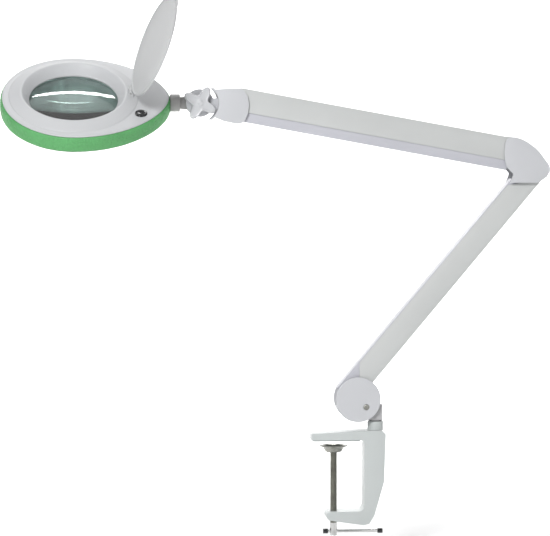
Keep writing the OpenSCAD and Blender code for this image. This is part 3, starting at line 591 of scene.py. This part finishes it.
def switchPieces():
    place = middle("switch_bezel")
    local = headPlace.inverted() @ place
    at = headPlace @ Matrix.Translation((local.x, local.y, 5.7 * mm))
    bm = bmesh.new()
    spinPoints(bm, [(7.35 * mm, -6 * mm), (7.35 * mm, 0.9 * mm), (7.55 * mm, 1.3 * mm), (8.0 * mm, 1.35 * mm),
                    (8.4 * mm, 1.0 * mm), (8.6 * mm, 0.3 * mm), (8.6 * mm, 0.05 * mm), (7.8 * mm, 0.05 * mm),
                    (7.8 * mm, -6 * mm), (7.35 * mm, -6 * mm)], 64)
    placed(bm, at)
    finishPiece(bm, "switch_bezel_ring", "head", "black_plastic", [blackPlastic], ["switch_bezel"])
    bm = bmesh.new()
    spinPoints(bm, [(0, -4 * mm), (7.2 * mm, -4 * mm), (7.2 * mm, 1.1 * mm), (6.9 * mm, 1.6 * mm),
                    (6.2 * mm, 1.85 * mm), (4.8 * mm, 1.75 * mm), (2.5 * mm, 1.3 * mm), (0, 1.1 * mm)], 64)
    placed(bm, at)
    finishPiece(bm, "switch_button_cap", "switch", "black_plastic", [blackPlastic], ["switch_button"])


def lensCover():
    sizes = {"open": math.radians(113), "hinge": (78 * mm, 15.7 * mm), "knuckle": 2.4 * mm}
    hingeX, hingeZ = sizes["hinge"]
    place = headPlace @ Matrix.Translation((hingeX, 0, hingeZ)) @ Matrix.Rotation(sizes["open"], 4, "Y")
    place = place @ Matrix.Translation((-hingeX, 0, -hingeZ))
    base = 14.0
    profile = [(0, 1.5), (40, 1.5), (68.8, 1.5), (69.5, 1.3), (69.9, 0.5), (70.4, 0.25), (71.3, 0.25),
               (71.8, 0.6), (72, 1.2), (72, 2.6), (71.6, 3.3), (70.6, 3.7), (66, 3.9), (40, 4.3), (0, 4.5)]
    bm = bmesh.new()
    spinPoints(bm, [(r * mm, (base + z) * mm) for r, z in profile], 128)
    placed(bm, place)
    finishPiece(bm, "lens_cover_disc", "lid", "shell_plastic", [lidPlastic], ["lens_cover"], 45)
    bm = bmesh.new()
    for x0, x1, half, z0, z1 in ((-77, -70, 8, 1.0, 2.8), (69, 77, 4.3, 1.2, 3.2)):
        cube = bmesh.ops.create_cube(bm, size=1)["verts"]
        bmesh.ops.scale(bm, vec=((x1 - x0) * mm, 2 * half * mm, (z1 - z0) * mm), verts=cube)
        shift = ((x0 + x1) / 2 * mm, 0, (base + (z0 + z1) / 2) * mm)
        bmesh.ops.translate(bm, vec=shift, verts=cube)
    upright = [e for e in bm.edges if abs(e.verts[0].co.z - e.verts[1].co.z) > 1 * mm]
    bmesh.ops.bevel(bm, geom=upright, offset=2.6 * mm, offset_type="OFFSET", segments=5, profile=0.5,
                    affect="EDGES", clamp_overlap=True, material=-1)
    flat = [e for e in bm.edges if e.calc_face_angle(0) > 0.8]
    bmesh.ops.bevel(bm, geom=flat, offset=0.5 * mm, offset_type="OFFSET", segments=2, profile=0.5,
                    affect="EDGES", clamp_overlap=True, material=-1)
    bmesh.ops.create_cone(bm, cap_ends=True, segments=32, radius1=sizes["knuckle"], radius2=sizes["knuckle"],
                          depth=9 * mm, matrix=Matrix.Translation((hingeX, 0, hingeZ))
                          @ Matrix.Rotation(math.pi / 2, 4, "X"))
    placed(bm, place)
    finishPiece(bm, "lens_cover_tabs", "lid", "shell_plastic", [lidPlastic])


def headInsides():
    softCopy("lens_tube", 0.3 * mm, shellPlastic)
    softCopy("lens_ring", 0.3 * mm, shellPlastic)
    softCopy("neck_socket", 0.5 * mm, shellPlastic)
    softCopy("lid_hinge_bracket", 0.4 * mm, lidPlastic, 3)
    softCopy("lid_hinge_pin", 0.15 * mm, brightSteel)
    softCopy("led_board", 0.15 * mm, milky)
    softCopy("leds", 0.2 * mm, ledFace)
    softCopy("diffuser_ring", 0.4 * mm, milky)
    softCopy("driver_board", 0.2 * mm, circuitGreen)
    softCopy("shell_screws", 0.2 * mm, platedSteel)


def studio():
    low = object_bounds()[0]
    sizes = {"half": 7.0, "back": 4.0, "bend": 1.4, "drop": 0.02}
    floorMat, tree, shader = makeMaterial("studioPaper", (0.93, 0.93, 0.93), 0.9)
    cloud = noiseNode(tree, objectCoords(tree), 2.0, 2)
    blendColour(tree, shader, rangeNode(tree, cloud, 0, 1), (0.925, 0.925, 0.925), (0.935, 0.935, 0.935))
    z = low[2] - sizes["drop"]
    bm = bmesh.new()
    first = [bm.verts.new((x, -sizes["half"], z)) for x in (-sizes["half"], sizes["half"])]
    edge = bm.edges.new(first)
    path = [(sizes["back"], 0.0)]
    for i in range(1, 9):
        a = math.pi / 2 * i / 8
        path.append((sizes["back"] + sizes["bend"] * math.sin(a), sizes["bend"] * (1 - math.cos(a))))
    path.append((sizes["back"] + sizes["bend"], 6.0))
    for y, up in path:
        made = bmesh.ops.extrude_edge_only(bm, edges=[edge])["geom"]
        verts = [v for v in made if isinstance(v, bmesh.types.BMVert)]
        for v in verts:
            v.co.y, v.co.z = y, z + up
        edge = next(e for e in made if isinstance(e, bmesh.types.BMEdge))
    bmesh.ops.recalc_face_normals(bm, faces=bm.faces[:])
    mesh = bpy.data.meshes.new("studio_floor")
    bm.to_mesh(mesh)
    bm.free()
    mesh.shade_smooth()
    mesh.materials.append(floorMat)
    floor = bpy.data.objects.new("studio_floor", mesh)
    bpy.context.scene.collection.objects.link(floor)


def areaLight(name, place, target, size, power, colour=(1, 1, 1)):
    light = bpy.data.lights.new(name, "AREA")
    light.shape = "DISK"
    light.size = size
    light.energy = power
    light.color = colour
    lamp = bpy.data.objects.new(name, light)
    lamp.location = place
    lamp.rotation_euler = (Vector(target) - Vector(place)).to_track_quat("-Z", "Y").to_euler()
    bpy.context.scene.collection.objects.link(lamp)


def lights():
    world = bpy.data.worlds.new("softRoom")
    world.use_nodes = True
    world.node_tree.nodes["Background"].inputs["Color"].default_value = (1, 1, 1, 1)
    world.node_tree.nodes["Background"].inputs["Strength"].default_value = 0.30
    bpy.context.scene.world = world
    bpy.context.scene.view_settings.view_transform = "Standard"
    focus = (-0.1, 0, 0.3)
    areaLight("keyLight", (-1.5, -3.0, 1.9), focus, 1.0, 72)
    areaLight("fillLight", (1.6, -3.2, 0.6), focus, 1.6, 9)
    areaLight("topLight", (-0.4, 0.4, 2.6), focus, 1.4, 6)
    areaLight("paperLight", (0, 1.6, 3.4), (0, 5.2, 1.2), 2.4, 340)


def camera():
    sizes = {"azimuth": -4.5, "elevation": 3.0, "distance": 4.83, "focal": 229.0}
    aim = Vector((-0.0814, 0, 0.2394))
    az, el = math.radians(sizes["azimuth"]), math.radians(sizes["elevation"])
    back = Vector((math.sin(az) * math.cos(el), -math.cos(az) * math.cos(el), math.sin(el)))
    lens = bpy.data.cameras.new("viewCamera")
    lens.lens = sizes["focal"]
    lens.sensor_width = 36
    lens.clip_end = 60
    eye = bpy.data.objects.new("viewCamera", lens)
    eye.location = aim + back * sizes["distance"]
    eye.rotation_euler = (-back).to_track_quat("-Z", "Y").to_matrix().to_4x4().to_euler()
    bpy.context.scene.collection.objects.link(eye)
    bpy.context.scene.camera = eye


clampPieces()
armPieces()
balanceSpring("lower_spring", "lower_arm", armAlong("elbow_level", "lower_arm"))
balanceSpring("upper_spring", "upper_arm", armAlong("head_level", "upper_arm"))
starKnob()
topShell()
bottomShell()
sideBand()
magnifier()
switchPieces()
lensCover()
headInsides()
print("head done")
studio()
lights()
camera()
